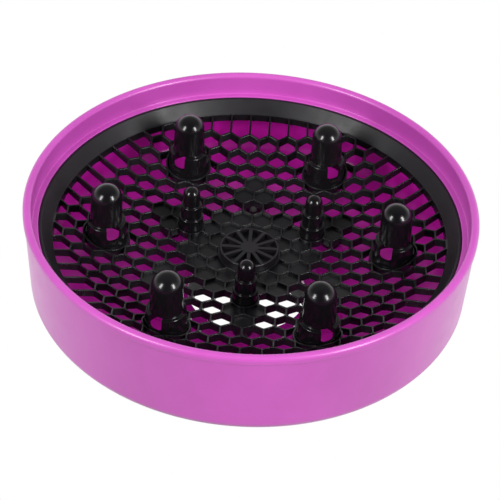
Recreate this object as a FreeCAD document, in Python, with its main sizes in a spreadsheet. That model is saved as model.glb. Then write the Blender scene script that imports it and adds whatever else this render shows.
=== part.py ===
import FreeCAD, Part

# Hair dryer diffuser: a round bowl with a neck that pushes onto the dryer's nozzle, closed by a dished
# honeycomb grille that carries six tall hollow fingers, three small prongs and a spoked centre rosette.
# The origin is the centre of the neck's open end, +Z runs up the axis towards the fingers, millimetres.

import math
import os

import Sketcher
from FreeCAD import Placement, Rotation, Vector

FINGERS = 6
PRONGS = 3
PILLARS = 6
WINDOWS = 3
SPOKES = 12
SECTOR = 360 / FINGERS
HALF_SECTOR = SECTOR / 2

# Heights are measured from the neck's open end, and radii from the axis of the whole part, or from the
# piece's own axis for fingers, prongs and screws.
SIZES = {
    "rim_top": 60.2,
    "lip_outer": 82.7,
    "lip_inner": 79.5,
    "lip_round": 1.5,
    "lip_foot": 57.4,
    "wall_top": 56.9,
    "wall_radius": 82.2,
    "foot_radius": 80.75,
    "foot_height": 24.6,
    "foot_round": 4.5,
    "floor_drop": 13.5,
    "neck_outer": 27.3,
    "neck_bore": 25.1,
    "neck_stop": 14.6,
    "throat_radius": 22.5,
    "throat_height": 17.0,
    "throat_land": 25.0,
    "ledge_height": 51.5,
    "ledge_radius": 77.35,
    "ledge_foot": 47.0,
    "inner_top": 45.0,
    "inner_radius": 79.6,
    "inner_foot": 78.4,
    "inner_foot_height": 26.9,
    "inner_round": 5.0,
    "neck_round": 2.0,
    "pillar_ring": 35.1,
    "pillar_radius": 6.0,
    "pillar_top": 28.0,
    "pillar_base": 17.6,
    "screw_seat": 22.0,
    "screw_well": 3.3,
    "screw_way": 1.7,
    "dish_low": 35.3,
    "dish_radius": 346.5,
    "lattice_depth": 2.8,
    "slope_start": 54.0,
    "lattice_radius": 72.5,
    "lattice_height": 46.4,
    "border_top": 51.3,
    "border_inner": 76.25,
    "border_outer": 77.15,
    "border_foot": 46.6,
    "pitch": 7.6,
    "web": 0.74,
    "border_web": 0.2,
    "blank_depth": 1.2,
    "finger_ring": 53.2,
    "seat_radius": 8.8,
    "seat_recess": 8.05,
    "seat_height": 38.4,
    "seat_floor": 37.2,
    "finger_hole": 6.5,
    "peg_ring": 7.25,
    "peg_radius": 0.5,
    "peg_length": 1.8,
    "peg_gap": 0.05,
    "collar_foot": 7.9,
    "collar_top": 7.2,
    "collar_height": 46.8,
    "collar_round": 0.45,
    "collar_inner": 6.5,
    "cap_radius": 5.7,
    "cap_height": 57.0,
    "dome_radius": 5.45,
    "cap_inner": 4.4,
    "window_width": 6.6,
    "window_top": 47.5,
    "window_sill": 41.9,
    "window_round": 1.6,
    "prong_ring": 26.33,
    "prong_pad": 5.35,
    "prong_recess": 4.7,
    "prong_base": 35.9,
    "prong_foot": 4.55,
    "prong_waist": 3.9,
    "prong_tip": 3.15,
    "prong_step_low": 41.0,
    "prong_step_high": 46.4,
    "prong_top": 53.95,
    "prong_edge": 0.35,
    "prong_stem": 1.8,
    "prong_stem_end": 30.5,
    "stem_gap": 0.08,
    "rosette_seat": 35.6,
    "rosette_pad": 11.6,
    "rosette_radius": 11.0,
    "rosette_ring": 10.2,
    "rosette_top": 38.4,
    "rosette_floor": 36.2,
    "rosette_spoke": 1.3,
    "rosette_hub": 3.3,
    "rosette_edge": 0.25,
    "rosette_stem": 2.0,
    "rosette_stem_end": 29.8,
    "boss_radius": 3.6,
    "boss_end": 28.2,
    "boss_root": 34.6,
    "pilot_radius": 1.3,
    "pilot_top": 34.0,
    "screw_head": 2.9,
    "screw_head_height": 1.9,
    "screw_shank": 1.25,
    "screw_end": 33.4,
    "screw_slot": 0.8,
    "screw_slot_depth": 1.1,
    "grip_outer": 25.05,
    "grip_inner": 23.8,
    "grip_low": 1.5,
    "grip_high": 14.5,
    "grip_round": 0.5,
    "bead_reach": 0.6,
    "bead_low": 7.0,
    "bead_high": 9.0,
    "bead_gap": 0.05,
}

doc = FreeCAD.newDocument("dryer_diffuser")
sheet = doc.addObject("Spreadsheet::Sheet", "Size")
for row, (alias, value) in enumerate(SIZES.items(), start=1):
    sheet.set(f"A{row}", alias)
    sheet.set(f"B{row}", str(value))
    sheet.setAlias(f"B{row}", alias)
doc.recompute()


def number(expression):
    """The value of an expression over the sheet, as a plain number."""
    value = sheet.evalExpression(expression)
    return float(getattr(value, "Value", value))


def origin_feature(body, role):
    """One of a body's own origin planes or axes."""
    return next(f for f in body.Origin.OriginFeatures if f.Role == role)


def new_body(label):
    body = doc.addObject("PartDesign::Body", label)
    body.Label = label
    return body


def new_sketch(body, name, plane="XY_Plane", height=None):
    """A sketch on a body's origin plane, raised to a height of the sheet where one is given."""
    sketch = body.newObject("Sketcher::SketchObject", name)
    sketch.AttachmentSupport = [(origin_feature(body, plane), "")]
    sketch.MapMode = "FlatFace"
    if height:
        sketch.setExpression("AttachmentOffset.Base.z", height)
    return sketch


def pin_point(sketch, place, across, along):
    """Bind a sketch point's two coordinates to expressions. None leaves a coordinate free."""
    for kind, axis, expression in (("DistanceX", -2, across), ("DistanceY", -1, along)):
        if expression is None:
            continue
        if expression == "0":
            sketch.addConstraint(Sketcher.Constraint("PointOnObject", *place, axis))
            continue
        rule = Sketcher.Constraint(kind, -1, 1, *place, number(expression))
        index = sketch.addConstraint(rule)
        sketch.setExpression(f"Constraints[{index}]", expression)


def draw_outline(sketch, corners, arcs=None):
    """A closed outline through corners, each (across, along) or (across, along, bound coordinates).

    arcs gives, by the number of the corner where it starts, the centre of a stretch that is an arc.
    """
    arcs = arcs or {}
    points = [Vector(number(corner[0]), number(corner[1]), 0) for corner in corners]
    starts, ends = [], []
    for i, start in enumerate(points):
        end = points[(i + 1) % len(points)]
        if i not in arcs:
            edge = sketch.addGeometry(Part.LineSegment(start, end), False)
            starts.append((edge, 1))
            ends.append((edge, 2))
            continue
        centre = Vector(number(arcs[i][0]), number(arcs[i][1]), 0)
        ray_in, ray_out = start - centre, end - centre
        turn = ray_in.cross(ray_out).z
        first, last = (ray_in, ray_out) if turn > 0 else (ray_out, ray_in)
        circle = Part.Circle(centre, Vector(0, 0, 1), ray_in.Length)
        angles = [math.atan2(ray.y, ray.x) for ray in (first, last)]
        edge = sketch.addGeometry(Part.ArcOfCircle(circle, *angles), False)
        starts.append((edge, 1 if turn > 0 else 2))
        ends.append((edge, 2 if turn > 0 else 1))
        pin_point(sketch, (edge, 3), *arcs[i])
    for i, corner in enumerate(corners):
        sketch.addConstraint(Sketcher.Constraint("Coincident", *ends[i - 1], *starts[i]))
        bound = corner[2] if len(corner) > 2 else "xz"
        across = corner[0] if "x" in bound else None
        along = corner[1] if "z" in bound else None
        pin_point(sketch, starts[i], across, along)


def draw_circle(sketch, radius, across="0", along="0"):
    centre = Vector(number(across), number(along), 0)
    edge = sketch.addGeometry(Part.Circle(centre, Vector(0, 0, 1), number(radius)), False)
    pin_point(sketch, (edge, 3), across, along)
    index = sketch.addConstraint(Sketcher.Constraint("Radius", edge, number(radius)))
    sketch.setExpression(f"Constraints[{index}]", radius)


def turned(body, name, corners, arcs=None):
    """Turn an outline of radius and height about the body's Z axis."""
    sketch = new_sketch(body, f"{name}_outline", "XZ_Plane")
    draw_outline(sketch, corners, arcs)
    feature = body.newObject("PartDesign::Revolution", name)
    feature.Profile = sketch
    feature.ReferenceAxis = (sketch, ["V_Axis"])
    feature.Angle = 360
    doc.recompute()
    return feature


def padded(body, name, sketch, length, down=False):
    feature = body.newObject("PartDesign::Pad", name)
    feature.Profile = sketch
    feature.setExpression("Length", length)
    feature.Reversed = down
    doc.recompute()
    return feature


def pocketed(body, name, sketch, depth, outwards=False):
    """Cut a sketch downwards, or outwards along its normal, and check that it took material away."""
    before = body.Shape.Volume
    feature = body.newObject("PartDesign::Pocket", name)
    feature.Profile = sketch
    feature.setExpression("Length", depth)
    feature.Reversed = outwards
    doc.recompute()
    if body.Shape.Volume >= before:
        raise RuntimeError(f"{name} cuts nothing")
    return feature


def repeated(body, name, features, count):
    """Repeat features round the body's Z axis."""
    pattern = body.newObject("PartDesign::PolarPattern", name)
    pattern.Originals = features
    pattern.Axis = (origin_feature(body, "Z_Axis"), [""])
    pattern.Angle = 360
    pattern.Occurrences = count
    body.Tip = pattern
    doc.recompute()
    return pattern


def rounded(body, name, size, spots):
    """Round the circular edges that lie at the given radii and heights."""
    base = body.Tip
    edges = []
    for radius, height in spots:
        for index, edge in enumerate(base.Shape.Edges, start=1):
            if edge.Degenerated or not isinstance(edge.Curve, Part.Circle):
                continue
            curve = edge.Curve
            off = max(abs(curve.Radius - number(radius)), abs(curve.Center.z - number(height)))
            if off < 0.01:
                edges.append(f"Edge{index}")
    if len(edges) < len(spots):
        raise RuntimeError(f"{name} finds {len(edges)} edges of {len(spots)}")
    feature = body.newObject("PartDesign::Fillet", name)
    feature.Base = (base, edges)
    feature.setExpression("Radius", size)
    doc.recompute()
    return feature


def rod(name, radius, low, high, ring="0", angle=0, turn=0, offset="0"):
    """An upright cylinder on a ring of the part, or on a smaller ring about a point of that ring."""
    piece = doc.addObject("Part::Cylinder", name)
    piece.setExpression("Radius", radius)
    piece.setExpression("Height", f"({high}) - ({low})")
    far = angle + turn
    piece.setExpression("Placement.Base.x", f"({ring}) * cos({angle}) + ({offset}) * cos({far})")
    piece.setExpression("Placement.Base.y", f"({ring}) * sin({angle}) + ({offset}) * sin({far})")
    piece.setExpression("Placement.Base.z", low)
    return piece


def joined(name, pieces):
    feature = doc.addObject("Part::MultiFuse", name)
    feature.Shapes = pieces
    return feature


def cut(name, base, tool):
    feature = doc.addObject("Part::Cut", name)
    feature.Base = base
    feature.Tool = tool
    return feature


def make_housing():
    body = new_body("housing")
    turned(body, "shell", [
        ("Size.neck_bore", "0"),
        ("Size.neck_outer", "0"),
        ("Size.neck_outer", "Size.floor_drop"),
        ("Size.foot_radius", "Size.foot_height"),
        ("Size.wall_radius", "Size.wall_top"),
        ("Size.lip_outer", "Size.lip_foot"),
        ("Size.lip_outer", "Size.rim_top"),
        ("Size.lip_inner", "Size.rim_top"),
        ("Size.lip_inner", "Size.ledge_height"),
        ("Size.ledge_radius", "Size.ledge_height"),
        ("Size.ledge_radius", "Size.ledge_foot"),
        ("Size.inner_radius", "Size.inner_top"),
        ("Size.inner_foot", "Size.inner_foot_height"),
        ("Size.throat_land", "Size.throat_height"),
        ("Size.throat_radius", "Size.throat_height"),
        ("Size.throat_radius", "Size.neck_stop"),
        ("Size.neck_bore", "Size.neck_stop"),
        ("Size.neck_bore", "Size.bead_high + Size.bead_gap"),
        ("Size.neck_bore + Size.bead_reach", "Size.bead_high + Size.bead_gap"),
        ("Size.neck_bore + Size.bead_reach", "Size.bead_low - Size.bead_gap"),
        ("Size.neck_bore", "Size.bead_low - Size.bead_gap"),
    ])
    rounded(body, "lip_rounding", "Size.lip_round", [
        ("Size.lip_outer", "Size.rim_top"),
        ("Size.lip_inner", "Size.rim_top"),
    ])
    rounded(body, "foot_rounding", "Size.foot_round", [("Size.foot_radius", "Size.foot_height")])
    rounded(body, "inner_rounding", "Size.inner_round", [("Size.inner_foot", "Size.inner_foot_height")])
    rounded(body, "neck_rounding", "Size.neck_round", [("Size.neck_outer", "Size.floor_drop")])

    pillar_sketch = new_sketch(body, "pillar_outline", height="Size.pillar_base")
    draw_circle(pillar_sketch, "Size.pillar_radius", across="Size.pillar_ring")
    pillar = padded(body, "pillar", pillar_sketch, "Size.pillar_top - Size.pillar_base")
    well_sketch = new_sketch(body, "well_outline", height="Size.screw_seat")
    draw_circle(well_sketch, "Size.screw_well", across="Size.pillar_ring")
    well = pocketed(body, "screw_well", well_sketch, "Size.screw_seat")
    way_sketch = new_sketch(body, "way_outline", height="Size.pillar_top")
    draw_circle(way_sketch, "Size.screw_way", across="Size.pillar_ring")
    way = pocketed(body, "screw_way", way_sketch, "Size.pillar_top - Size.screw_seat")
    repeated(body, "pillars", [pillar, well, way], PILLARS)
    body.Placement = Placement(Vector(), Rotation(Vector(0, 0, 1), HALF_SECTOR))
    return body


def dish_height(radius):
    """The height of the grille's dished top at a radius."""
    low, ball = number("Size.dish_low"), number("Size.dish_radius")
    return low + ball - math.sqrt(ball ** 2 - radius ** 2)


def hexagon(centre, half_width):
    """A cell's outline, with two of its walls along Y."""
    reach = half_width / math.cos(math.radians(30))
    corners = [centre + Vector(reach * math.cos(a), reach * math.sin(a), 0)
               for a in (math.radians(30 + 60 * k) for k in range(6))]
    return Part.Face(Part.makePolygon(corners + corners[:1]))


def slot(direction, aside, row_radius, half_width, reach):
    """A border cell without its outer roof: its two walls run on outwards along a direction."""
    side = half_width * math.tan(math.radians(30))
    tip = half_width / math.cos(math.radians(30))
    corners = [
        Vector(row_radius - tip, aside, 0),
        Vector(row_radius - side, aside - half_width, 0),
        Vector(reach, aside - half_width, 0),
        Vector(reach, aside + half_width, 0),
        Vector(row_radius - side, aside + half_width, 0),
    ]
    face = Part.Face(Part.makePolygon(corners + corners[:1]))
    return face.rotated(Vector(), Vector(0, 0, 1), direction)


def cell_centres(pitch, reach):
    """The honeycomb's cell centres within a reach."""
    rise = pitch * math.sqrt(3) / 2
    rows = int(reach / rise) + 1
    columns = int(reach / pitch) + 1
    for row in range(-rows, rows + 1):
        shift = 0.5 if row % 2 else 0.0
        for column in range(-columns - 1, columns + 1):
            centre = Vector((column + shift) * pitch, row * rise, 0)
            if centre.Length < reach:
                yield centre


def nearest_direction(point):
    """The direction between two fingers that a point lies closest to, in degrees."""
    angle = math.degrees(math.atan2(point.y, point.x))
    return HALF_SECTOR + SECTOR * round((angle - HALF_SECTOR) / SECTOR)


def along_and_aside(point, direction):
    """A point's place along a direction and to its left."""
    turned_back = Rotation(Vector(0, 0, 1), -direction).multVec(point)
    return turned_back.x, turned_back.y


def is_blank(centre, pitch):
    """Cells with a floor: the centre's hexagon, a prong's cell, and three cells over each pillar."""
    rise = pitch * math.sqrt(3) / 2
    centre_rows = 3
    along, aside = along_and_aside(centre, nearest_direction(centre))
    if along < (centre_rows + 0.5) * rise:
        return True
    pillar = Vector(along - number("Size.pillar_ring"), aside, 0)
    if pillar.Length < pitch * 0.7:
        return True
    direction = nearest_direction(centre) % 120
    under_prong = abs(along - number("Size.prong_ring")) < rise / 2 and abs(aside) < pitch / 2
    return under_prong and abs(direction - HALF_SECTOR) < 1


def lattice_cells():
    """All the cells of the honeycomb, as one group of upright prisms to cut away."""
    pitch = number("Size.pitch")
    rise = pitch * math.sqrt(3) / 2
    half_width = (pitch - number("Size.web")) / 2
    edge = number("Size.lattice_radius") - number("Size.border_web")
    disc = Part.Face(Part.Wire(Part.makeCircle(edge)))
    slot_row = 10
    slot_spread = 3.2 * pitch
    least_share = 0.3
    tall = Vector(0, 0, number("Size.border_top"))
    whole = half_width / math.cos(math.radians(30))
    prisms = []
    for centre in cell_centres(pitch, edge + pitch):
        direction = nearest_direction(centre)
        along, aside = along_and_aside(centre, direction)
        row = round(along / rise)
        if row > slot_row and abs(aside) < slot_spread:
            continue
        is_slot = row == slot_row and abs(aside) < slot_spread
        if is_slot:
            face = slot(direction, aside, along, half_width, edge + pitch)
        else:
            face = hexagon(centre, half_width)
        if is_slot or centre.Length + whole > edge:
            full = hexagon(centre, half_width).Area
            face = face.common(disc)
            if face.Area < least_share * full:
                continue
        if is_blank(centre, pitch):
            low = dish_height(centre.Length) - number("Size.blank_depth")
            face.translate(Vector(0, 0, low))
        prisms.append(face.extrude(tall))
    return Part.makeCompound(prisms)


def make_grille():
    body = new_body("grille_blank")
    dish_centre = "Size.dish_low + Size.dish_radius"
    rise = "Size.dish_radius - sqrt(Size.dish_radius ^ 2 - Size.slope_start ^ 2)"
    under = "Size.dish_radius + Size.lattice_depth"
    drop = f"{under} - sqrt(({under}) ^ 2 - Size.slope_start ^ 2) - Size.lattice_depth"
    top_of_dish = [
        ("0", "Size.dish_low"),
        ("Size.slope_start", f"Size.dish_low + {rise}", "x"),
        ("Size.lattice_radius", "Size.lattice_height"),
    ]
    turned(body, "dish", top_of_dish + [
        ("Size.border_inner", "Size.border_top"),
        ("Size.border_outer", "Size.border_top"),
        ("Size.border_outer", "Size.border_foot"),
        ("Size.lattice_radius", "Size.lattice_height - Size.lattice_depth"),
        ("Size.slope_start", f"Size.dish_low + {drop}", "x"),
        ("0", "Size.dish_low - Size.lattice_depth"),
    ], arcs={0: ("0", dish_centre), 7: ("0", dish_centre)})
    cells = doc.addObject("Part::Feature", "lattice_cells")
    cells.Shape = lattice_cells()
    lattice = cut("lattice", body, cells)

    top = "Size.border_top"
    bottom = "Size.dish_low - Size.lattice_depth"
    fingers = [k * SECTOR for k in range(FINGERS)]
    prongs = [HALF_SECTOR + k * 360 / PRONGS for k in range(PRONGS)]
    pillars = [HALF_SECTOR + k * 360 / PILLARS for k in range(PILLARS)]
    solid = [rod(f"seat_{k}", "Size.seat_radius", "Size.seat_floor", top, "Size.finger_ring", angle)
             for k, angle in enumerate(fingers, start=1)]
    solid += [rod(f"pad_{k}", "Size.prong_pad", bottom, top, "Size.prong_ring", angle)
              for k, angle in enumerate(prongs, start=1)]
    above = new_body("above_dish")
    turned(above, "bowl_space", top_of_dish + [
        ("Size.lattice_radius", "Size.border_top + 1"),
        ("0", "Size.border_top + 1"),
    ], arcs={0: ("0", dish_centre)})
    trimmed = cut("trimmed_seats", joined("seats", solid), above)
    extra = [rod("rosette_pad", "Size.rosette_pad", bottom, "Size.rosette_seat")]
    extra += [rod(f"boss_{k}", "Size.boss_radius", "Size.boss_end", "Size.boss_root",
                  "Size.pillar_ring", angle)
              for k, angle in enumerate(pillars, start=1)]
    plate = joined("plate", [lattice, trimmed] + extra)

    hollow = [rod("rosette_way", "Size.rosette_stem + Size.stem_gap", "Size.boss_end", top)]
    for k, angle in enumerate(fingers, start=1):
        hollow.append(rod(f"recess_{k}", "Size.seat_recess", "Size.seat_height", top,
                          "Size.finger_ring", angle))
        hollow.append(rod(f"air_way_{k}", "Size.finger_hole", bottom, top, "Size.finger_ring", angle))
        for w in range(WINDOWS):
            turn = 360 / WINDOWS * (w + 0.5)
            hollow.append(rod(f"peg_way_{k}_{w}", "Size.peg_radius + Size.peg_gap", bottom, top,
                              "Size.finger_ring", angle, turn, "Size.peg_ring"))
    for k, angle in enumerate(prongs, start=1):
        hollow.append(rod(f"spot_{k}", "Size.prong_recess", "Size.prong_base", top, "Size.prong_ring", angle))
        hollow.append(rod(f"stem_way_{k}", "Size.prong_stem + Size.stem_gap", "Size.boss_end", top,
                          "Size.prong_ring", angle))
    hollow += [rod(f"pilot_{k}", "Size.pilot_radius", "Size.boss_end - 1", "Size.pilot_top",
                   "Size.pillar_ring", angle)
               for k, angle in enumerate(pillars, start=1)]
    grille = cut("grille_plate", plate, joined("ways", hollow))
    grille.Label = "grille_plate"
    return grille


def make_finger(index):
    """A hollow domed finger. Its wide collar has three windows, the first facing away from the axis."""
    body = new_body(f"finger_{index}")
    dome_end = "Size.cap_height + Size.dome_radius"
    roof_end = "Size.cap_height + Size.cap_inner"
    turned(body, "finger", [
        ("Size.collar_inner", "Size.seat_height"),
        ("Size.collar_foot", "Size.seat_height"),
        ("Size.collar_top", "Size.collar_height"),
        ("Size.cap_radius", "Size.collar_height"),
        ("Size.dome_radius", "Size.cap_height"),
        ("0", dome_end, "x"),
        ("0", roof_end, "x"),
        ("Size.cap_inner", "Size.cap_height"),
        ("Size.cap_inner", "Size.window_top"),
        ("Size.collar_inner", "Size.collar_height - 1"),
    ], arcs={4: ("0", "Size.cap_height"), 6: ("0", "Size.cap_height")})
    rounded(body, "collar_rounding", "Size.collar_round", [("Size.collar_top", "Size.collar_height")])
    window_sketch = new_sketch(body, "window_outline", "YZ_Plane")
    side, corner = "Size.window_width / 2", "Size.window_sill + Size.window_round"
    draw_outline(window_sketch, [
        (side, "Size.window_top"),
        (f"-{side}", "Size.window_top"),
        (f"-{side}", corner),
        (f"-{side} + Size.window_round", "Size.window_sill", "x"),
        (f"{side} - Size.window_round", "Size.window_sill", "x"),
        (side, corner),
    ], arcs={2: (f"-{side} + Size.window_round", corner), 4: (f"{side} - Size.window_round", corner)})
    window = pocketed(body, "window", window_sketch, "Size.seat_radius", outwards=True)
    repeated(body, "windows", [window], WINDOWS)
    peg_sketch = new_sketch(body, "peg_outline", height="Size.seat_height")
    draw_circle(peg_sketch, "Size.peg_radius", across="-Size.peg_ring")
    peg = padded(body, "peg", peg_sketch, "Size.peg_length", down=True)
    repeated(body, "pegs", [peg], WINDOWS)
    angle = (index - 1) * SECTOR
    body.setExpression("Placement.Base.x", f"Size.finger_ring * cos({angle})")
    body.setExpression("Placement.Base.y", f"Size.finger_ring * sin({angle})")
    body.setExpression("Placement.Rotation.Angle", f"{angle}")
    return body


def make_prong(index):
    """A small stepped prong with a stem that passes down through the grille."""
    body = new_body(f"prong_{index}")
    shoulder = "Size.prong_top - Size.prong_tip"
    turned(body, "prong", [
        ("0", "Size.prong_stem_end"),
        ("Size.prong_stem", "Size.prong_stem_end"),
        ("Size.prong_stem", "Size.prong_base"),
        ("Size.prong_foot", "Size.prong_base"),
        ("Size.prong_foot", "Size.prong_step_low"),
        ("Size.prong_waist", "Size.prong_step_low"),
        ("Size.prong_waist", "Size.prong_step_high"),
        ("Size.prong_tip", "Size.prong_step_high"),
        ("Size.prong_tip", shoulder),
        ("0", "Size.prong_top", "x"),
    ], arcs={8: ("0", shoulder)})
    rounded(body, "step_rounding", "Size.prong_edge", [
        ("Size.prong_foot", "Size.prong_step_low"),
        ("Size.prong_waist", "Size.prong_step_high"),
    ])
    angle = HALF_SECTOR + (index - 1) * 360 / PRONGS
    body.setExpression("Placement.Base.x", f"Size.prong_ring * cos({angle})")
    body.setExpression("Placement.Base.y", f"Size.prong_ring * sin({angle})")
    return body


def make_rosette():
    """A shallow cup with a ring, twelve spokes and a hub, and a stem that holds it in the grille."""
    body = new_body("rosette")
    turned(body, "cup", [
        ("0", "Size.rosette_stem_end"),
        ("Size.rosette_stem", "Size.rosette_stem_end"),
        ("Size.rosette_stem", "Size.rosette_seat"),
        ("Size.rosette_radius", "Size.rosette_seat"),
        ("Size.rosette_radius", "Size.rosette_top"),
        ("Size.rosette_ring", "Size.rosette_top"),
        ("Size.rosette_ring", "Size.rosette_floor"),
        ("Size.rosette_hub", "Size.rosette_floor"),
        ("Size.rosette_hub", "Size.rosette_top"),
        ("0", "Size.rosette_top"),
    ])
    rounded(body, "ring_rounding", "Size.rosette_edge", [
        ("Size.rosette_radius", "Size.rosette_top"),
        ("Size.rosette_ring", "Size.rosette_top"),
    ])
    spoke_sketch = new_sketch(body, "spoke_outline", height="Size.rosette_floor - 0.2")
    inner, outer = "Size.rosette_hub - 0.6", "Size.rosette_ring + 0.3"
    draw_outline(spoke_sketch, [
        (inner, "-Size.rosette_spoke / 2"),
        (outer, "-Size.rosette_spoke / 2"),
        (outer, "Size.rosette_spoke / 2"),
        (inner, "Size.rosette_spoke / 2"),
    ])
    spoke = padded(body, "spoke", spoke_sketch, "Size.rosette_top - Size.rosette_floor + 0.1")
    repeated(body, "spokes", [spoke], SPOKES)
    return body


def make_screws():
    """Six pan-head screws, one up through each pillar into its boss."""
    body = new_body("plate_screws")
    body.AllowCompound = True
    head_sketch = new_sketch(body, "head_outline", height="Size.screw_seat")
    draw_circle(head_sketch, "Size.screw_head", across="Size.pillar_ring")
    head = padded(body, "head", head_sketch, "Size.screw_head_height", down=True)
    shank_sketch = new_sketch(body, "shank_outline", height="Size.screw_seat")
    draw_circle(shank_sketch, "Size.screw_shank", across="Size.pillar_ring")
    shank = padded(body, "shank", shank_sketch, "Size.screw_end - Size.screw_seat")
    recess_sketch = new_sketch(body, "recess_outline", height="Size.screw_seat - Size.screw_head_height + "
                                                              "Size.screw_slot_depth")
    reach = "Size.screw_head * 0.6"
    draw_outline(recess_sketch, [
        (f"Size.pillar_ring - {reach}", "-Size.screw_slot / 2"),
        (f"Size.pillar_ring + {reach}", "-Size.screw_slot / 2"),
        (f"Size.pillar_ring + {reach}", "Size.screw_slot / 2"),
        (f"Size.pillar_ring - {reach}", "Size.screw_slot / 2"),
    ])
    recess = pocketed(body, "recess", recess_sketch, "Size.screw_head_height")
    repeated(body, "screws", [head, shank, recess], PILLARS)
    body.Placement = Placement(Vector(), Rotation(Vector(0, 0, 1), HALF_SECTOR))
    return body


def make_grip_ring():
    """The soft sleeve inside the neck that grips the dryer's nozzle, held by a bead round its middle."""
    body = new_body("grip_ring")
    turned(body, "sleeve", [
        ("Size.grip_inner", "Size.grip_low"),
        ("Size.grip_outer", "Size.grip_low"),
        ("Size.grip_outer", "Size.bead_low"),
        ("Size.grip_outer + Size.bead_reach", "Size.bead_low"),
        ("Size.grip_outer + Size.bead_reach", "Size.bead_high"),
        ("Size.grip_outer", "Size.bead_high"),
        ("Size.grip_outer", "Size.grip_high"),
        ("Size.grip_inner", "Size.grip_high"),
    ])
    rounded(body, "sleeve_rounding", "Size.grip_round", [("Size.grip_inner", "Size.grip_low")])
    return body


def check_document():
    doc.recompute()
    for item in doc.Objects:
        if "Invalid" in item.State or "Error" in item.State:
            raise RuntimeError(f"{item.Name}: {item.State}")


def write_steps(pieces):
    for piece in pieces:
        if piece.Shape.isNull() or not piece.Shape.isValid():
            raise RuntimeError(f"{piece.Label} has no valid shape")
    os.makedirs("parts", exist_ok=True)
    for piece in pieces:
        piece.Shape.exportStep(f"parts/{piece.Label}.step")
        print(piece.Label, len(piece.Shape.Solids), "solids", round(piece.Shape.Volume), "mm3")


pieces = [make_housing(), make_grille()]
pieces += [make_finger(k) for k in range(1, FINGERS + 1)]
pieces += [make_prong(k) for k in range(1, PRONGS + 1)]
pieces += [make_rosette(), make_screws(), make_grip_ring()]
check_document()
write_steps(pieces)
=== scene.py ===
import math

import bmesh
import bpy
from mathutils import Matrix, Vector
from mathutils.geometry import delaunay_2d_cdt


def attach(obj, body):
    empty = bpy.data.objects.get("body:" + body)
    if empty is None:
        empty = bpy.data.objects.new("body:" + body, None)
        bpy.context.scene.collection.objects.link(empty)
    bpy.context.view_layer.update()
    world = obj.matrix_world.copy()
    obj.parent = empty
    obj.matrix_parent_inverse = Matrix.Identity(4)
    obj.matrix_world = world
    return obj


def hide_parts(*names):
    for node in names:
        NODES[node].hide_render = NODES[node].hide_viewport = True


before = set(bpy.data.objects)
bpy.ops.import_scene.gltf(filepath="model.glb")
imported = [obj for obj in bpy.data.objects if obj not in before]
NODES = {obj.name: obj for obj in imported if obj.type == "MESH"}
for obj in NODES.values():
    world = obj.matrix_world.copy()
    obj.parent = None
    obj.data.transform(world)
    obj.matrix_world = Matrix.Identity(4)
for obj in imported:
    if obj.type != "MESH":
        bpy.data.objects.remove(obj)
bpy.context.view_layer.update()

MM = 0.001


# ---------------------------------------------------------------- camera

def make_camera():
    """A long lens looking down into the bowl from the front, a little rolled."""
    azimuth, elevation, roll = map(math.radians, (-1.302, 40.23, 3.175))
    distance = 620 * MM
    target = Vector((0.9, -27.3, 60.0)) * MM
    back = Vector((
        -math.cos(elevation) * math.sin(azimuth),
        -math.cos(elevation) * math.cos(azimuth),
        math.sin(elevation),
    ))
    right = (-back).cross(Vector((0, 0, 1))).normalized()
    up = right.cross(-back)
    data = bpy.data.cameras.new("camera")
    data.sensor_width = 36
    data.lens = 127.2
    camera = bpy.data.objects.new("camera", data)
    bpy.context.scene.collection.objects.link(camera)
    across = right * math.cos(roll) + up * math.sin(roll)
    upright = up * math.cos(roll) - right * math.sin(roll)
    turn = Matrix((across, upright, back)).transposed()
    camera.matrix_world = Matrix.Translation(target + back * distance) @ turn.to_4x4()
    data.clip_start = 0.01
    data.clip_end = 20
    bpy.context.scene.camera = camera


# ---------------------------------------------------------------- node helpers

class Nodes:
    """A short way to wire a material's node tree."""

    def __init__(self, tree):
        self.tree = tree
        tree.nodes.clear()

    def add(self, kind, **inputs):
        node = self.tree.nodes.new(kind)
        for key, value in inputs.items():
            self.feed(node, key, value)
        return node

    def feed(self, node, key, value):
        socket = node.inputs[int(key[1:])] if key[0] == "i" and key[1:].isdigit() else node.inputs[key]
        if isinstance(value, bpy.types.NodeSocket):
            self.tree.links.new(value, socket)
        else:
            socket.default_value = value

    def noise(self, where, scale, detail=3.0, roughness=0.5):
        node = self.add("ShaderNodeTexNoise", Vector=where, Scale=scale, Detail=detail, Roughness=roughness)
        return node.outputs["Fac"]

    def ramp(self, value, low, high, out_low, out_high):
        node = self.add("ShaderNodeMapRange", Value=value)
        limits = {"From Min": low, "From Max": high, "To Min": out_low, "To Max": out_high}
        for key, number in limits.items():
            node.inputs[key].default_value = number
        return node.outputs["Result"]

    def calculate(self, operation, first, second=0.0):
        node = self.add("ShaderNodeMath", i0=first, i1=second)
        node.operation = operation
        return node.outputs[0]

    def mix(self, factor, first, second):
        node = self.tree.nodes.new("ShaderNodeMix")
        node.data_type = "RGBA"
        sockets = node.inputs["Factor"], node.inputs[6], node.inputs[7]
        for socket, value in zip(sockets, (factor, first, second)):
            if isinstance(value, bpy.types.NodeSocket):
                self.tree.links.new(value, socket)
            else:
                socket.default_value = value
        return node.outputs[2]

    def bump(self, height, strength, distance, below=None):
        node = self.add("ShaderNodeBump", Height=height, Strength=strength, Distance=distance)
        if below is not None:
            self.tree.links.new(below, node.inputs["Normal"])
        return node.outputs["Normal"]


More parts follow.
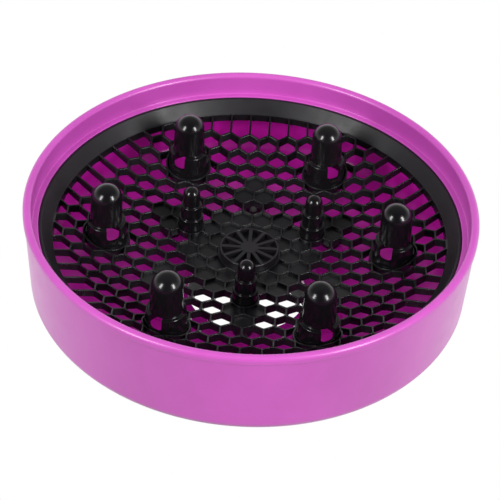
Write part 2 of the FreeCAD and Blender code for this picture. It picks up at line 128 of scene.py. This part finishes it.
def plastic(name, dark, light, rough, grain, coat=0.0, glow=0.0):
    """Moulded plastic: mottled between two colours, with a fine moulded grain and uneven polish.

    glow is painted light: an emission that brightens the surface whatever the lamps, standing in for daylight
    coming through a thin coloured wall.
    """
    material = bpy.data.materials.new(name)
    material.use_nodes = True
    n = Nodes(material.node_tree)
    where = n.add("ShaderNodeTexCoord").outputs["Object"]
    cloud = n.noise(where, 28.0, 4.0, 0.55)
    colour = n.mix(n.ramp(cloud, 0.35, 0.65, 0.0, 1.0), dark, light)
    polish = n.ramp(n.noise(where, 160.0, 5.0, 0.6), 0.3, 0.7, rough[0], rough[1])
    flow = n.bump(n.noise(where, 45.0, 2.0, 0.4), 0.25, 0.00012)
    skin = n.bump(n.noise(where, 1700.0, 3.0, 0.6), grain, 0.00006, flow)
    shader = n.add("ShaderNodeBsdfPrincipled", Roughness=polish, Normal=skin)
    n.feed(shader, "Base Color", colour)
    shader.inputs["Coat Weight"].default_value = coat
    shader.inputs["Coat Roughness"].default_value = 0.3
    # Painted glow: emission in the lighter colour, which lights the surface with no lamp.
    shader.inputs["Emission Color"].default_value = light
    shader.inputs["Emission Strength"].default_value = glow
    output = n.add("ShaderNodeOutputMaterial")
    n.tree.links.new(shader.outputs["BSDF"], output.inputs["Surface"])
    return material


def metal(name):
    """Zinc-plated steel with fine turning marks."""
    material = bpy.data.materials.new(name)
    material.use_nodes = True
    n = Nodes(material.node_tree)
    where = n.add("ShaderNodeTexCoord").outputs["Object"]
    cloud = n.noise(where, 900.0, 4.0, 0.6)
    colour = n.mix(cloud, (0.42, 0.43, 0.45, 1), (0.7, 0.7, 0.7, 1))
    polish = n.ramp(n.noise(where, 2500.0, 2.0, 0.5), 0.3, 0.7, 0.22, 0.42)
    shader = n.add("ShaderNodeBsdfPrincipled", Roughness=polish, Metallic=1.0)
    n.feed(shader, "Base Color", colour)
    n.feed(shader, "Normal", n.bump(cloud, 0.3, 0.00005))
    output = n.add("ShaderNodeOutputMaterial")
    n.tree.links.new(shader.outputs["BSDF"], output.inputs["Surface"])
    return material


def paint(piece, material):
    piece.data.materials.clear()
    piece.data.materials.append(material)


# ---------------------------------------------------------------- the honeycomb grille

# Sizes are in millimetres. Heights are from the neck's open end, and radii from the axis of the whole part,
# or from the piece's own axis for fingers, prongs and bosses.

PITCH = 7.6
WEB = 0.74
ROW = PITCH * math.sqrt(3) / 2
EDGE_ROUND = 0.13
DISH_LOW, DISH_BALL, DISH_DEPTH = 35.3, 346.5, 2.8
SLOPE_START, LATTICE_RADIUS, LATTICE_HEIGHT, OPEN_RADIUS = 54.0, 72.5, 46.4, 72.3
BORDER_INNER, BORDER_OUTER, BORDER_TOP, BORDER_FOOT, CREASE = 76.25, 77.15, 51.3, 46.55, 0.3
LATTICE_SLOPE = 0.37
CELL_HALF = (PITCH - WEB) / 2
CELL_DRAFT, CELL_CORNER = 0.35, 0.45
BLANK_ROWS, LAST_ROW = 3.5, 13
SEAT, SEAT_FLOOR, SEAT_RECESS, SEAT_RADIUS, FINGER_HOLE = 38.4, 37.2, 8.05, 8.8, 6.5
PRONG_PAD, PRONG_RECESS, PRONG_HOLE = 5.35, 4.7, 1.88
ROSETTE_SEAT, ROSETTE_HOLE = 11.6, 2.08
BLANK_DEPTH, PRONG_FLOOR, ROSETTE_FLOOR = 1.2, 35.9, 35.6
BOSS, BOSS_PILOT, BOSS_FOOT, BOSS_TOP, PILOT_END = 3.6, 1.3, 28.2, 34.9, 34.0
FINGER_RING, PRONG_RING, PILLAR_RING = 53.2, 26.33, 35.1
SLOT_ROW, SLOT_SPREAD, SLOT_END = 10, 3.2 * PITCH, 80.0


def polar(radius, degrees):
    return Vector((radius * math.cos(math.radians(degrees)), radius * math.sin(math.radians(degrees))))


FINGER_SPOTS = [polar(FINGER_RING, 60 * k) for k in range(6)]
PRONG_SPOTS = [polar(PRONG_RING, 30 + 120 * k) for k in range(3)]
PILLAR_SPOTS = [polar(PILLAR_RING, 30 + 60 * k) for k in range(6)]


def dish(radius, ball, low, edge):
    """The height of a shallow dish that turns into a straight slope up to a height at the lattice's edge."""
    bent = low + ball - math.sqrt(ball ** 2 - min(radius, SLOPE_START) ** 2)
    straight = max(radius - SLOPE_START, 0) / (LATTICE_RADIUS - SLOPE_START)
    return bent + (edge - bent) * straight


def dish_top(p):
    """The grille's top, which bends up into the steep border beyond the lattice."""
    slope = (BORDER_TOP - LATTICE_HEIGHT) / (BORDER_INNER - LATTICE_RADIUS)
    past = p.length - LATTICE_RADIUS
    climb = 0 if past < -CREASE else (past + CREASE) ** 2 / (4 * CREASE) if past < CREASE else past
    return dish(p.length, DISH_BALL, DISH_LOW, LATTICE_HEIGHT) + climb * (slope - LATTICE_SLOPE)


def dish_under(p):
    """The grille's underside, which is flat round each finger."""
    edge = LATTICE_HEIGHT - DISH_DEPTH
    under = dish(p.length, DISH_BALL + DISH_DEPTH, DISH_LOW - DISH_DEPTH, edge)
    by_finger = min((p - spot).length for spot in FINGER_SPOTS) < (FINGER_HOLE + SEAT_RECESS) / 2
    return max(under, SEAT_FLOOR) if by_finger else under


def circle(centre, radius, count):
    return [centre + polar(radius, 360 * k / count) for k in range(count)]


def hexagon(centre):
    """A cell's outline with rounded corners."""
    corner = (CELL_HALF - CELL_CORNER) / math.cos(math.radians(30))
    return [centre + polar(corner, 30 + 60 * k) + polar(CELL_CORNER, 30 + 60 * k + turn)
            for k in range(6) for turn in (-30, -10, 10, 30)]


def rotated(p, degrees):
    c, s = math.cos(math.radians(degrees)), math.sin(math.radians(degrees))
    return Vector((c * p.x - s * p.y, s * p.x + c * p.y))


def border_slot(direction, along, aside):
    """The outline of a border cell whose two side walls run on past the border."""
    side = CELL_HALF * math.tan(math.radians(30))
    tip = CELL_HALF / math.cos(math.radians(30))
    outline = [(along - tip, aside), (along - side, aside - CELL_HALF), (SLOT_END, aside - CELL_HALF),
               (SLOT_END, aside + CELL_HALF), (along - side, aside + CELL_HALF)]
    return [rotated(Vector(p), direction) for p in outline]


def clipped(outline, radius):
    """A convex outline cut off by a circle about the axis."""
    count = 360
    for k in range(count):
        normal = polar(1, 360 * (k + 0.5) / count)
        limit = radius * math.cos(math.pi / count)
        kept = []
        for i, p in enumerate(outline):
            q = outline[(i + 1) % len(outline)]
            dp, dq = p.dot(normal) - limit, q.dot(normal) - limit
            if dp <= 0:
                kept.append(p)
            if dp * dq < 0:
                kept.append(p.lerp(q, dp / (dp - dq)))
        outline = kept
        if not outline:
            break
    return outline


def area(outline):
    return sum(p.x * q.y - q.x * p.y for p, q in zip(outline, outline[1:] + outline[:1])) / 2


def grown(outline, reach):
    """A convex outline moved outwards by a distance, with mitred corners."""
    tidy = [p for i, p in enumerate(outline) if (p - outline[i - 1]).length > 0.02]
    out = []
    for i, p in enumerate(tidy):
        before, after = (p - tidy[i - 1]).normalized(), (tidy[(i + 1) % len(tidy)] - p).normalized()
        first, second = Vector((before.y, -before.x)), Vector((after.y, -after.x))
        middle = (first + second).normalized()
        out.append(p + middle * reach / max(middle.dot(first), 0.4))
    return out


def inside(p, outline):
    return all((q2 - q1).cross(p - q1) >= 0 for q1, q2 in zip(outline, outline[1:] + outline[:1]))


def is_blank(along, aside, direction):
    """Whether a cell is closed: near the centre, over a pillar, or under a prong."""
    if along < BLANK_ROWS * ROW:
        return True
    if math.hypot(along - PILLAR_RING, aside) < 0.7 * PITCH:
        return True
    near_prong = abs(along - PRONG_RING) < ROW / 2 and abs(aside) < PITCH / 2
    return near_prong and abs(direction % 120 - 30) < 1


def lattice_cells():
    """Every cell's outline at the dish's top, and whether it has a floor."""
    cells = []
    whole = area(hexagon(Vector((0, 0))))
    places = range(-LAST_ROW, LAST_ROW + 1)
    for row in places:
        for column in places:
            centre = Vector(((column + (0.5 if row % 2 else 0)) * PITCH, row * ROW))
            if centre.length > OPEN_RADIUS + PITCH:
                continue
            angle = math.degrees(math.atan2(centre.y, centre.x))
            direction = 30 + 60 * round((angle - 30) / 60)
            local = rotated(centre, -direction)
            place = round(local.x / ROW)
            in_slots = abs(local.y) < SLOT_SPREAD
            if place > SLOT_ROW and in_slots:
                continue
            if place == SLOT_ROW and in_slots:
                outline = border_slot(direction, local.x, local.y)
            else:
                outline = hexagon(centre)
            if centre.length + PITCH > OPEN_RADIUS:
                outline = clipped(outline, OPEN_RADIUS)
                if len(outline) < 3 or area(outline) < 0.3 * whole:
                    continue
            cells.append((centre, outline, is_blank(local.x, local.y, direction)))
    return cells


def zone(p, near):
    """What the grille is at a point, or None where it is open. near(p) gives the cells close to it."""
    if p.length < ROSETTE_SEAT:
        return "rosette" if p.length > ROSETTE_HOLE else None
    for spot in FINGER_SPOTS:
        gap = (p - spot).length
        if gap < SEAT_RADIUS:
            return None if gap < FINGER_HOLE else "recess" if gap < SEAT_RECESS else "top"
    for spot in PRONG_SPOTS:
        gap = (p - spot).length
        if gap < PRONG_PAD:
            return None if gap < PRONG_HOLE else "spot" if gap < PRONG_RECESS else "top"
    for _, outline, blank in near(p):
        if inside(p, outline):
            return "blank" if blank else None
    return "top"


def grille_plan(cells):
    """The plan of the grille as triangles, each with its zone.

    It also gives the points of the border's inmost ring, and the middle of each open cell by its points.
    """
    points, edges = [], []

    def loop(outline):
        start = len(points)
        points.extend(outline)
        edges.extend((start + i, start + (i + 1) % len(outline)) for i in range(len(outline)))

    origin = Vector((0, 0))
    border = 360
    for radius in (LATTICE_RADIUS + CREASE, LATTICE_RADIUS, LATTICE_RADIUS - CREASE):
        loop(circle(origin, radius, border))
    owner = {}
    for _, outline, blank in cells:
        if not blank:
            middle = sum(outline, Vector((0, 0))) / len(outline)
            owner.update((len(points) + i, middle) for i in range(len(outline)))
        loop(outline)
        loop(grown(outline, EDGE_ROUND))
    for spot in FINGER_SPOTS:
        for radius in (SEAT_RADIUS, SEAT_RADIUS - EDGE_ROUND, SEAT_RECESS + EDGE_ROUND, SEAT_RECESS,
                       FINGER_HOLE + EDGE_ROUND, FINGER_HOLE):
            loop(circle(spot, radius, 72))
    for spot in PRONG_SPOTS:
        for radius in (PRONG_PAD, PRONG_PAD - EDGE_ROUND, PRONG_RECESS + EDGE_ROUND, PRONG_RECESS,
                       PRONG_HOLE):
            loop(circle(spot, radius, 40))
    for radius, count in ((ROSETTE_SEAT, 96), (ROSETTE_SEAT - EDGE_ROUND, 96), (ROSETTE_HOLE, 32)):
        loop(circle(origin, radius, count))
    flat = delaunay_2d_cdt(points, edges, [], 1, 1e-5, True)
    plan_points, triangles, sources = flat[0], flat[2], flat[3]
    border_ids, middles = [None] * border, {}
    for i, source in enumerate(sources):
        for s in source:
            if s < border:
                border_ids[s] = i
            if s in owner:
                middles[i] = owner[s]

    bucket = 12
    buckets = {}
    for cell in cells:
        buckets.setdefault((round(cell[0].x / bucket), round(cell[0].y / bucket)), []).append(cell)

    def near(p):
        column, line = round(p.x / bucket), round(p.y / bucket)
        return [cell for i in (column - 1, column, column + 1) for j in (line - 1, line, line + 1)
                for cell in buckets.get((i, j), [])]

    middle_points = (sum((plan_points[i] for i in triangle), Vector((0, 0))) / 3 for triangle in triangles)
    zones = [zone(p, near) for p in middle_points]
    return plan_points, triangles, zones, border_ids, middles


# The height of each zone's top.
LEVELS = {
    "top": dish_top,
    "blank": lambda p: dish_top(p) - BLANK_DEPTH,
    "recess": lambda p: min(SEAT, dish_top(p) - 0.05),
    "spot": lambda p: PRONG_FLOOR,
    "rosette": lambda p: ROSETTE_FLOOR,
}


def drafted(p, middle):
    """Where a point of an open cell's edge lies at the underside: the cell narrows, and its corners blunt."""
    way = p - middle
    whole_cell, blunt = CELL_HALF * 1.3, CELL_HALF * 1.06
    reach = min(way.length, blunt) if way.length < whole_cell else way.length
    return middle + way.normalized() * (reach - CELL_DRAFT)


def make_grille(material, band):
    """The honeycomb plate with its border, seats, floors and screw bosses."""
    points, triangles, zones, border_ids, middles = grille_plan(lattice_cells())
    sides = {}
    for triangle, zone_name in zip(triangles, zones):
        for i in range(3):
            sides.setdefault(frozenset((triangle[i], triangle[(i + 1) % 3])), []).append(zone_name)
    on_edge = {name: set() for name in LEVELS}
    open_edge = set()
    for pair, both in sides.items():
        if len(both) == 2 and both[0] != both[1]:
            for name, other in (both, both[::-1]):
                if name is None:
                    open_edge.update(pair)
                elif other is None or all(LEVELS[name](points[i]) > LEVELS[other](points[i]) for i in pair):
                    on_edge[name].update(pair)

    mesh = bmesh.new()
    made = {}

    def vertex(i, level):
        if (i, level) not in made:
            p = points[i]
            if level == "under":
                z = dish_under(p) + (EDGE_ROUND if i in open_edge else 0)
                p = drafted(p, middles[i]) if i in middles else p
            else:
                z = LEVELS[level](p) - (EDGE_ROUND if i in on_edge[level] else 0)
            made[i, level] = mesh.verts.new((p.x * MM, p.y * MM, z * MM))
        return made[i, level]

    def steps(i, high, low):
        """A corner's vertices from one level down to another, with any level that ends between them."""
        ends = vertex(i, high), vertex(i, low)
        between = [made[i, name] for name in LEVELS if (i, name) in made]
        between = [v for v in between if ends[1].co.z < v.co.z < ends[0].co.z]
        return [ends[0], *sorted(between, key=lambda v: -v.co.z), ends[1]]

    solid = []
    for triangle, name in zip(triangles, zones):
        if name:
            a, b, c = (points[i] for i in triangle)
            solid.append((triangle[::-1] if (b - a).cross(c - a) < 0 else triangle, name))
    for triangle, name in solid:
        mesh.faces.new([vertex(i, name) for i in triangle])
        mesh.faces.new([vertex(i, "under") for i in reversed(triangle)])
    for triangle, name in solid:
        for i in range(3):
            a, b = triangle[i], triangle[(i + 1) % 3]
            both = sides[frozenset((a, b))]
            if len(both) < 2 or both[0] == both[1]:
                continue
            other = both[0] if both[1] == name else both[1]
            if other is None:
                low = "under"
            elif LEVELS[name](points[a]) > LEVELS[other](points[a]):
                low = other
            else:
                continue
            mesh.faces.new([*steps(b, name, low)[::-1], *steps(a, name, low)])

    profile = [(BORDER_INNER - 0.2, BORDER_TOP - 0.3), (BORDER_INNER - 0.08, BORDER_TOP - 0.12),
               (BORDER_INNER + 0.12, BORDER_TOP), (BORDER_OUTER - 0.2, BORDER_TOP),
               (BORDER_OUTER - 0.05, BORDER_TOP - 0.06), (BORDER_OUTER, BORDER_TOP - 0.2),
               (BORDER_OUTER, BORDER_FOOT + 0.15), (BORDER_OUTER - 0.1, BORDER_FOOT)]
    rings = [[vertex(i, "top") for i in border_ids]]
    rings += [round_ring(mesh, Vector((0, 0)), r, z, len(border_ids)) for r, z in profile]
    rings.append([vertex(i, "under") for i in border_ids])
    skin(mesh, rings)
    soft = 0.15
    boss = [(0, PILOT_END), (BOSS_PILOT, PILOT_END), (BOSS_PILOT, BOSS_FOOT + soft),
            (BOSS_PILOT + soft, BOSS_FOOT), (BOSS - soft, BOSS_FOOT), (BOSS, BOSS_FOOT + soft),
            (BOSS, BOSS_TOP), (0, BOSS_TOP)]
    for spot in PILLAR_SPOTS:
        skin(mesh, [round_ring(mesh, spot, r, z, 40) for r, z in boss])
    piece = finished(mesh, "grille", material, 50, "grille_plate")
    piece.data.materials.append(band)
    for face in piece.data.polygons:
        if face.center.xy.length > (LATTICE_RADIUS - CREASE) * MM:
            face.material_index = 1
    return piece


# ---------------------------------------------------------------- turned pieces

def round_ring(mesh, centre, radius, height, count):
    """One ring of vertices, or a single point of no radius."""
    spots = circle(centre, radius, count) if radius else [centre]
    return [mesh.verts.new((spot.x * MM, spot.y * MM, height * MM)) for spot in spots]


def skin(mesh, rings, closed=False):
    """Faces between each ring and the next, as fans where one of them is a single point."""
    pairs = list(zip(rings, rings[1:])) + ([(rings[-1], rings[0])] if closed else [])
    for first, second in pairs:
        count = max(len(first), len(second))
        for k in range(count if count > 1 else 0):
            m = (k + 1) % count
            if len(first) == 1:
                mesh.faces.new([first[0], second[k], second[m]])
            elif len(second) == 1:
                mesh.faces.new([first[m], first[k], second[0]])
            else:
                mesh.faces.new([first[k], second[k], second[m], first[m]])


def softened(corners):
    """A profile of radius and height with its corners rounded. Each corner is (radius, height, rounding)."""
    count, out = len(corners), []
    for i, (r, z, rounding) in enumerate(corners):
        here = Vector((r, z))
        if rounding == 0:
            out.append(here)
            continue
        back = (Vector(corners[i - 1][:2]) - here).normalized()
        ahead = (Vector(corners[(i + 1) % count][:2]) - here).normalized()
        half = back.angle(ahead) / 2
        middle = here + (back + ahead).normalized() * rounding / math.sin(half)
        start = here + back * rounding / math.tan(half) - middle
        end = here + ahead * rounding / math.tan(half) - middle
        steps = max(3, round(math.degrees(math.pi - 2 * half) / 9))
        for k in range(steps + 1):
            out.append(middle + start.slerp(end, k / steps).normalized() * rounding)
    return [(p.x, p.y) for p in out]


def without(piece, cutter):
    """Cut one object out of another, drop the cutter, and merge the slivers that the cut leaves."""
    cut = piece.modifiers.new("cut", "BOOLEAN")
    cut.object = cutter
    cut.operation = "DIFFERENCE"
    cut.solver = "EXACT"
    graph = bpy.context.evaluated_depsgraph_get()
    whole = piece.data
    piece.data = bpy.data.meshes.new_from_object(piece.evaluated_get(graph))
    piece.modifiers.remove(cut)
    bpy.data.meshes.remove(whole)
    bpy.data.meshes.remove(cutter.data)
    mesh, sliver = bmesh.new(), 0.002 * MM
    mesh.from_mesh(piece.data)
    bmesh.ops.remove_doubles(mesh, verts=mesh.verts, dist=sliver)
    bmesh.ops.dissolve_degenerate(mesh, edges=mesh.edges, dist=sliver)
    bmesh.ops.triangulate(mesh, faces=mesh.faces)
    mesh.to_mesh(piece.data)
    mesh.free()


def loose(mesh, name):
    """Built mesh code as a plain object."""
    bmesh.ops.recalc_face_normals(mesh, faces=mesh.faces)
    data = bpy.data.meshes.new(name)
    mesh.to_mesh(data)
    mesh.free()
    piece = bpy.data.objects.new(name, data)
    bpy.context.scene.collection.objects.link(piece)
    return piece


def finished(mesh, name, material, sharp, node, cutter=None):
    """Turn built mesh code into a shaded piece that stands for a CAD node."""
    piece = loose(mesh, name)
    if cutter:
        without(piece, cutter)
    piece.data.shade_smooth()
    piece.data.set_sharp_from_angle(angle=math.radians(sharp))
    even = piece.modifiers.new("even", "WEIGHTED_NORMAL")
    even.keep_sharp = True
    even.weight = 80
    paint(piece, material)
    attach(piece, "root")
    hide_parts(node)
    return piece


# ---------------------------------------------------------------- the bowl

BOWL_STEPS = 384
NECK_CORNER, FOOT_CORNER = Vector((27.3, 13.5)), Vector((80.75, 24.6))
LAND_CORNER, INNER_CORNER = Vector((25.0, 17.0)), Vector((78.4, 26.9))
PILLAR_BAND = (29.0, 42.0)
WELL, SCREW_WAY, PILLAR = 3.3, 1.7, 6.0
SCREW_SEAT, PILLAR_TOP = 22.0, 28.0


def on_slope(low, high):
    """The height of a shallow cone through two points of radius and height."""
    return lambda p: low.y + (high.y - low.y) * (p.length - low.x) / (high.x - low.x)


def pillar_band(mesh, height, hole):
    """A ring of floor with six round holes. Gives its inner and outer rings and the rings of the holes."""
    points, edges, loops = [], [], []
    origin = Vector((0, 0))
    for outline in ([circle(origin, radius, BOWL_STEPS) for radius in PILLAR_BAND]
                    + [circle(spot, hole, 72) for spot in PILLAR_SPOTS]):
        start, count = len(points), len(outline)
        points.extend(outline)
        edges.extend((start + i, start + (i + 1) % count) for i in range(count))
        loops.append(range(start, start + count))
    flat, _, triangles, sources = delaunay_2d_cdt(points, edges, [], 1, 1e-5, True)[:4]
    verts = [mesh.verts.new((p.x * MM, p.y * MM, height(p) * MM)) for p in flat]
    for triangle in triangles:
        middle = sum((flat[i] for i in triangle), Vector((0, 0))) / 3
        open_spot = any((middle - spot).length < hole for spot in PILLAR_SPOTS)
        if PILLAR_BAND[0] < middle.length and not open_spot:
            mesh.faces.new([verts[i] for i in triangle])
    place = {s: i for i, source in enumerate(sources) for s in source}
    return [[verts[place[i]] for i in loop] for loop in loops]


def make_bowl(outside, inside_pink_painted):
    """The housing: lip, ledge, wall, floor, pillars and neck as one turned skin with six holes and posts."""
    mesh = bmesh.new()
    origin = Vector((0, 0))
    outer_slope, inner_slope = on_slope(NECK_CORNER, FOOT_CORNER), on_slope(LAND_CORNER, INNER_CORNER)
    below = pillar_band(mesh, outer_slope, WELL)
    above = pillar_band(mesh, inner_slope, PILLAR)
    near, far = (Vector((radius, 0)) for radius in PILLAR_BAND)
    wall = softened([
        (far.x, outer_slope(far), 0), (*FOOT_CORNER, 4.5), (82.2, 56.9, 0.3), (82.7, 57.4, 0.3),
        (82.7, 60.2, 1.45), (79.5, 60.2, 1.45), (79.5, 51.5, 0.35), (77.35, 51.5, 0.3), (77.35, 47.0, 0.3),
        (79.6, 45.0, 0.5), (*INNER_CORNER, 5.0), (far.x, inner_slope(far), 0),
    ])
    neck = softened([
        (near.x, inner_slope(near), 0), (*LAND_CORNER, 0.3), (22.5, 17.0, 0.5), (22.5, 14.6, 0.3),
        (25.1, 14.6, 0.3), (25.1, 9.05, 0.1), (25.7, 9.05, 0.1), (25.7, 6.95, 0.1), (25.1, 6.95, 0.1),
        (25.1, 0, 0.4), (27.3, 0, 0.4), (*NECK_CORNER, 2.0), (near.x, outer_slope(near), 0),
    ])
    for profile, first, last in ((wall, below[1], above[1]), (neck, above[0], below[0])):
        rings = [round_ring(mesh, origin, r, z, BOWL_STEPS) for r, z in profile[1:-1]]
        skin(mesh, [first] + rings + [last])
    soft = 0.15
    post = [(WELL, SCREW_SEAT - soft), (WELL - soft, SCREW_SEAT), (SCREW_WAY, SCREW_SEAT),
            (SCREW_WAY, PILLAR_TOP - soft), (SCREW_WAY + soft, PILLAR_TOP), (PILLAR - 2 * soft, PILLAR_TOP),
            (PILLAR, PILLAR_TOP - 2 * soft)]
    for spot, well_ring, post_ring in zip(PILLAR_SPOTS, below[2:], above[2:]):
        skin(mesh, [well_ring] + [round_ring(mesh, spot, r, z, 72) for r, z in post] + [post_ring])
    piece = finished(mesh, "bowl", outside, 40, "housing")
    # The faces under the grille and in the throat take the second material, which paints shade and glow
    # inside the bowl on the same plastic.
    piece.data.materials.append(inside_pink_painted)
    for face in piece.data.polygons:
        middle = face.center / MM
        reach = math.hypot(middle.x, middle.y)
        under_plate = inner_slope(middle.xy) - 0.1 < middle.z < 46.5 and 24 < reach < 79.7
        in_throat = 14.8 < middle.z < 17.2 and reach < 25.1
        if under_plate or in_throat:
            face.material_index = 1
    return piece


# ---------------------------------------------------------------- fingers and prongs

def make_finger(index, material):
    """A hollow round finger that leans a little towards the axis, on a collar with three windows.

    The outline runs up the outside and comes back down inside the hollow.
    """
    mesh = bmesh.new()
    direction = 60 * (index - 1)
    spot = FINGER_SPOTS[index - 1]
    cap_foot, cap_top, dome = 5.95, 5.72, 5.45
    core_foot, core_top, roof = 4.7, 4.5, 4.2
    base, shoulder, lean = 46.8, 57.0, 0.5
    bore, collar, soft, shoulder_round = 6.5, 7.9, 0.15, 0.45
    outline = [(bore, SEAT), (collar - soft, SEAT), (collar, SEAT + soft)]
    for k in range(7):
        turn = math.radians(15 * k)
        outline.append((6.78 + shoulder_round * math.cos(turn), base + shoulder_round * (math.sin(turn) - 1)))
    for grow, rise in ((0.35, 0), (0.14, 0.06), (0.04, 0.18), (0, 0.4)):
        outline.append((cap_foot + grow, base + rise))
    for k in range(13):
        turn = math.radians(7.5 * k)
        outline.append((cap_top * math.cos(turn) if k < 12 else 0, shoulder + dome * math.sin(turn)))
    for k in range(8, -1, -1):
        turn = math.radians(11.25 * k)
        outline.append((core_top * math.cos(turn) if k < 8 else 0, shoulder + roof * math.sin(turn)))
    outline += [(core_foot, base + 0.7), (bore, base - 1.0)]
    rings = []
    for radius, z in outline:
        drift = lean * max(z - base, 0) / (shoulder + dome - base)
        rings.append(round_ring(mesh, spot - spot.normalized() * drift, radius, z, 96))
    skin(mesh, rings, closed=True)

    cutter = bmesh.new()
    half, top, sill, corner = 2.6, 47.3, 41.9, 1.3
    window = [Vector((half, top)), Vector((-half, top))]
    for side, start in ((-1, 180), (1, 270)):
        window += [Vector((side * (half - corner), sill + corner)) + polar(corner, start + 15 * k)
                   for k in range(7)]
    for turn in (0, 120, 240):
        ends = []
        for reach in (2.2, 9.5):
            ring = []
            for across, height in window:
                place = spot + rotated(Vector((reach, across * reach / bore)), direction + turn)
                ring.append(cutter.verts.new((place.x * MM, place.y * MM, height * MM)))
            ends.append(ring)
        skin(cutter, ends)
        cutter.faces.new(ends[0])
        cutter.faces.new(ends[1][::-1])
    name = f"finger_{index}"
    return finished(mesh, f"cap_{index}", material, 40, name, loose(cutter, "window_cutter"))


def make_prong(index, material):
    """A small prong: three steps, a round end, and a stem through the grille."""
    mesh = bmesh.new()
    stem, stem_foot, foot, waist, tip = 1.8, 30.5, 4.55, 3.9, 3.15
    first_step, second_step, shoulder = 41.0, 46.4, 50.8
    steps = softened([
        (stem, stem_foot, 0.2), (stem, PRONG_FLOOR, 0), (foot, PRONG_FLOOR, 0.15), (foot, first_step, 0.4),
        (waist, first_step, 0.15), (waist, second_step, 0.4), (tip, second_step, 0.15), (tip, shoulder, 0),
    ])
    dome = [(tip * math.cos(math.radians(9 * k)), shoulder + tip * math.sin(math.radians(9 * k)))
            for k in range(1, 10)]
    outline = [(0, stem_foot)] + steps + dome + [(0, shoulder + tip)]
    skin(mesh, [round_ring(mesh, PRONG_SPOTS[index - 1], r, z, 72) for r, z in outline])
    return finished(mesh, f"stud_{index}", material, 40, f"prong_{index}")


# ---------------------------------------------------------------- stage and light

def make_stage():
    """A white floor that shines a little, so that it stays pure white round the bowl."""
    bpy.ops.mesh.primitive_plane_add(size=8, location=(0, 0, -0.0005))
    floor = bpy.context.object
    floor.name = "floor"
    material = bpy.data.materials.new("floor")
    material.use_nodes = True
    n = Nodes(material.node_tree)
    glow = n.add("ShaderNodeEmission", Strength=1.0)
    glow.inputs["Color"].default_value = (1, 1, 1, 1)
    output = n.add("ShaderNodeOutputMaterial")
    n.tree.links.new(glow.outputs[0], output.inputs["Surface"])
    paint(floor, material)
    floor.visible_diffuse = False


def make_light(name, place, aim, size, power):
    data = bpy.data.lights.new(name, "AREA")
    data.shape = "RECTANGLE"
    data.size, data.size_y = size
    data.energy = power
    lamp = bpy.data.objects.new(name, data)
    bpy.context.scene.collection.objects.link(lamp)
    lamp.location = place
    lamp.rotation_mode = "QUATERNION"
    lamp.rotation_quaternion = (Vector(aim) - Vector(place)).to_track_quat("-Z", "Y")
    return lamp


def make_lights():
    """Two tall softboxes at the front, and a sky that is brightest low down behind the bowl.

    Mirror-like rays see that shaped sky, and diffuse ones see an even light from above.
    """
    world = bpy.data.worlds.new("world")
    bpy.context.scene.world = world
    world.use_nodes = True
    n = Nodes(world.node_tree)
    direction = n.add("ShaderNodeTexCoord").outputs["Generated"]
    parts = n.add("ShaderNodeSeparateXYZ", Vector=direction).outputs
    behind = n.ramp(parts["Y"], -0.45, 0.8, 0.05, 1.4)
    beside = n.ramp(n.calculate("ABSOLUTE", parts["X"]), 0.35, 0.95, 0.05, 0.9)
    fall = n.ramp(parts["Z"], 0.1, 0.6, 1.0, 0.18)
    mirrored = n.calculate("MULTIPLY", n.calculate("MAXIMUM", behind, beside), fall)
    soft = n.ramp(parts["Z"], -0.2, 1.0, 0.1, 0.85)
    path = n.add("ShaderNodeLightPath").outputs["Is Diffuse Ray"]
    spread = n.calculate("MULTIPLY", soft, path)
    rest = n.calculate("MULTIPLY", mirrored, n.calculate("SUBTRACT", 1.0, path))
    sky = n.add("ShaderNodeBackground", Strength=n.calculate("ADD", spread, rest))
    sky.inputs["Color"].default_value = (1, 1, 1, 1)
    output = n.add("ShaderNodeOutputWorld")
    n.tree.links.new(sky.outputs[0], output.inputs["Surface"])
    aim = Vector((0, 0, 0.04))
    softboxes = (("softbox_left", -48, 30, 9.0), ("softbox_right", 52, 29, 11.0))
    for name, azimuth, elevation, power in softboxes:
        turn, rise = math.radians(azimuth), math.radians(elevation)
        way = Vector((math.sin(turn) * math.cos(rise), -math.cos(turn) * math.cos(rise), math.sin(rise)))
        make_light(name, aim + way * 1.25, aim, (0.28, 0.62), power)


make_camera()
make_stage()
make_lights()

pink = plastic("pink_satin", (0.53, 0.072, 0.445, 1), (0.59, 0.086, 0.5, 1), (0.3, 0.38), 0.2, coat=0.4)
# The same pink plastic as the outside, made darker and more saturated and given a painted glow: painted shade
# and interreflected light for the faces inside the bowl.
pink_painted_shade_glow = plastic("pink_painted_shade_glow", (0.50, 0.008, 0.35, 1), (0.57, 0.012, 0.40, 1), (0.1, 0.18), 0.15,
                    coat=0.4, glow=0.1)
black_satin = plastic("black_satin", (0.004, 0.0035, 0.0045, 1), (0.008, 0.007, 0.009, 1), (0.24, 0.34), 0.4)
black_band = plastic("black_band", (0.005, 0.004, 0.006, 1), (0.009, 0.007, 0.010, 1), (0.4, 0.5), 0.5)
black_gloss = plastic("black_gloss", (0.004, 0.0035, 0.0045, 1), (0.007, 0.006, 0.007, 1), (0.16, 0.22), 0.1)
black_semi = plastic("black_semi", (0.006, 0.005, 0.007, 1), (0.013, 0.011, 0.014, 1), (0.25, 0.36), 0.3)
soft_black = plastic("soft_black", (0.012, 0.012, 0.012, 1), (0.025, 0.025, 0.025, 1), (0.6, 0.8), 0.8)
zinc = metal("zinc")

make_bowl(pink, pink_painted_shade_glow)
make_grille(black_satin, black_band)
for number in range(1, 7):
    make_finger(number, black_gloss)
for number in range(1, 4):
    make_prong(number, black_gloss)
for name, material in (("rosette", black_semi), ("plate_screws", zinc), ("grip_ring", soft_black)):
    paint(NODES[name], material)

scene = bpy.context.scene
scene.view_settings.view_transform = "Standard"
scene.view_settings.exposure = 0.0
